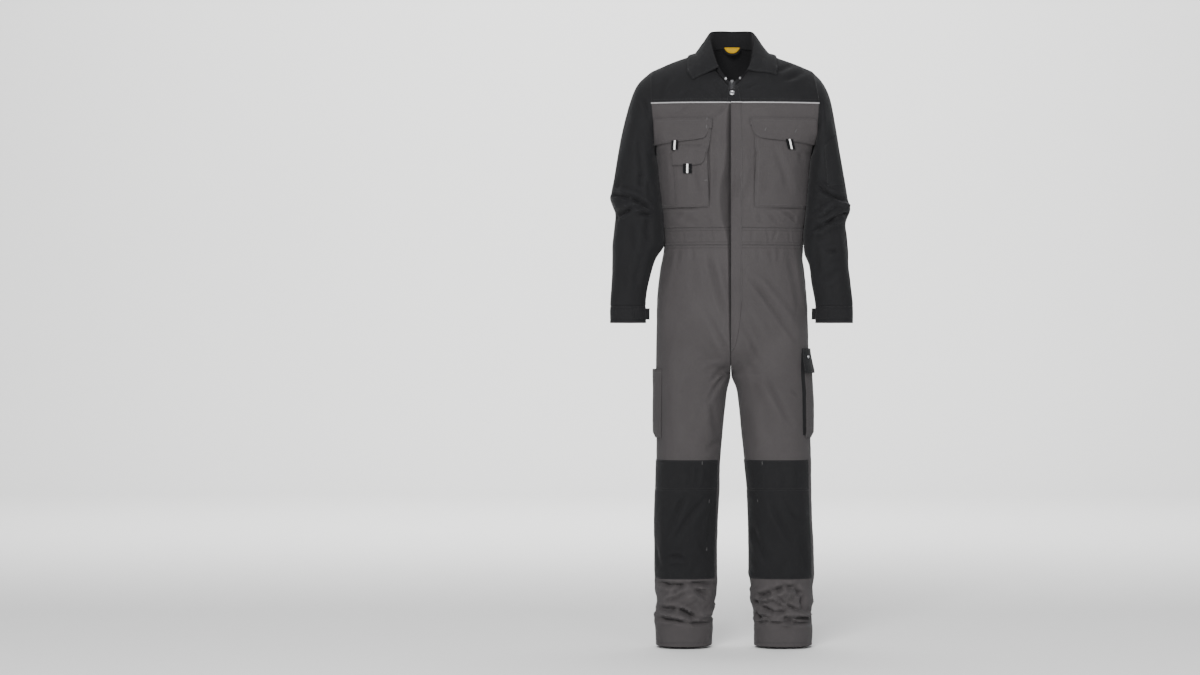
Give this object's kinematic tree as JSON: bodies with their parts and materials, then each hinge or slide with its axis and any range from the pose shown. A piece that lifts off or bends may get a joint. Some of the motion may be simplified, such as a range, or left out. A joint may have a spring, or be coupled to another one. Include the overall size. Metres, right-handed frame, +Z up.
{
  "type": "boiler suit",
  "caption": "Work boiler suit with a turned collar, yoke, covered front zip, chest and thigh pockets and knee patches, filled out to the worn shape with open neck, cuffs and hems.",
  "frame": {"origin": "middle of the neck opening at the height of the shoulders, where the suit is held", "axes": "+Z up along the suit's length, -Y out of the chest, +X towards the wearer's left"},
  "size_m": [0.64, 0.266, 1.6311],
  "materials": {
    "black_cloth": "matt twill",
    "grey_cloth": "matt twill",
    "piping_cloth": "matt",
    "label_cloth": "matt, plain",
    "zip_tape": "matt",
    "slider_metal": "satin",
    "snap_metal": "satin nickel"
  },
  "bodies": {
    "root": {"back_bodice": "grey_cloth", "cargo_flap_left": "black_cloth", "cargo_pocket_left": "grey_cloth", "cargo_pocket_right": "grey_cloth", "cargo_snap_left": "snap_metal", "chest_flap_left": "grey_cloth", "chest_flap_right": "grey_cloth", "chest_front_left": "grey_cloth", "chest_front_right": "grey_cloth", "chest_pocket_left": "grey_cloth", "chest_pocket_right": "grey_cloth", "collar_leaf": "black_cloth", "collar_stand": "black_cloth", "cuff_left": "black_cloth", "cuff_right": "black_cloth", "cuff_tab_left": "black_cloth", "cuff_tab_right": "black_cloth", "flap_tab_left": "black_cloth", "flap_tab_right": "black_cloth", "hanger_loop": "black_cloth", "knee_patch_lower_left": "black_cloth", "knee_patch_lower_right": "black_cloth", "knee_patch_upper_left": "black_cloth", "knee_patch_upper_right": "black_cloth", "neck_label": "label_cloth", "phone_flap": "grey_cloth", "phone_pocket": "grey_cloth", "phone_tab": "black_cloth", "piping_left": "piping_cloth", "piping_placket": "piping_cloth", "piping_right": "piping_cloth", "placket_body": "grey_cloth", "placket_top": "black_cloth", "sleeve_left": "black_cloth", "sleeve_pocket_left": "black_cloth", "sleeve_right": "black_cloth", "snap_stand_left": "snap_metal", "snap_stand_right": "snap_metal", "snap_top": "snap_metal", "trouser_back_left": "grey_cloth", "trouser_back_right": "grey_cloth", "trouser_front_left": "grey_cloth", "trouser_front_right": "grey_cloth", "waistband_back": "grey_cloth", "waistband_front_left": "grey_cloth", "waistband_front_right": "grey_cloth", "yoke_back": "black_cloth", "yoke_front_left": "black_cloth", "yoke_front_right": "black_cloth", "zip": "zip_tape", "zip_slider": "slider_metal"}
  },
  "joints": []
}
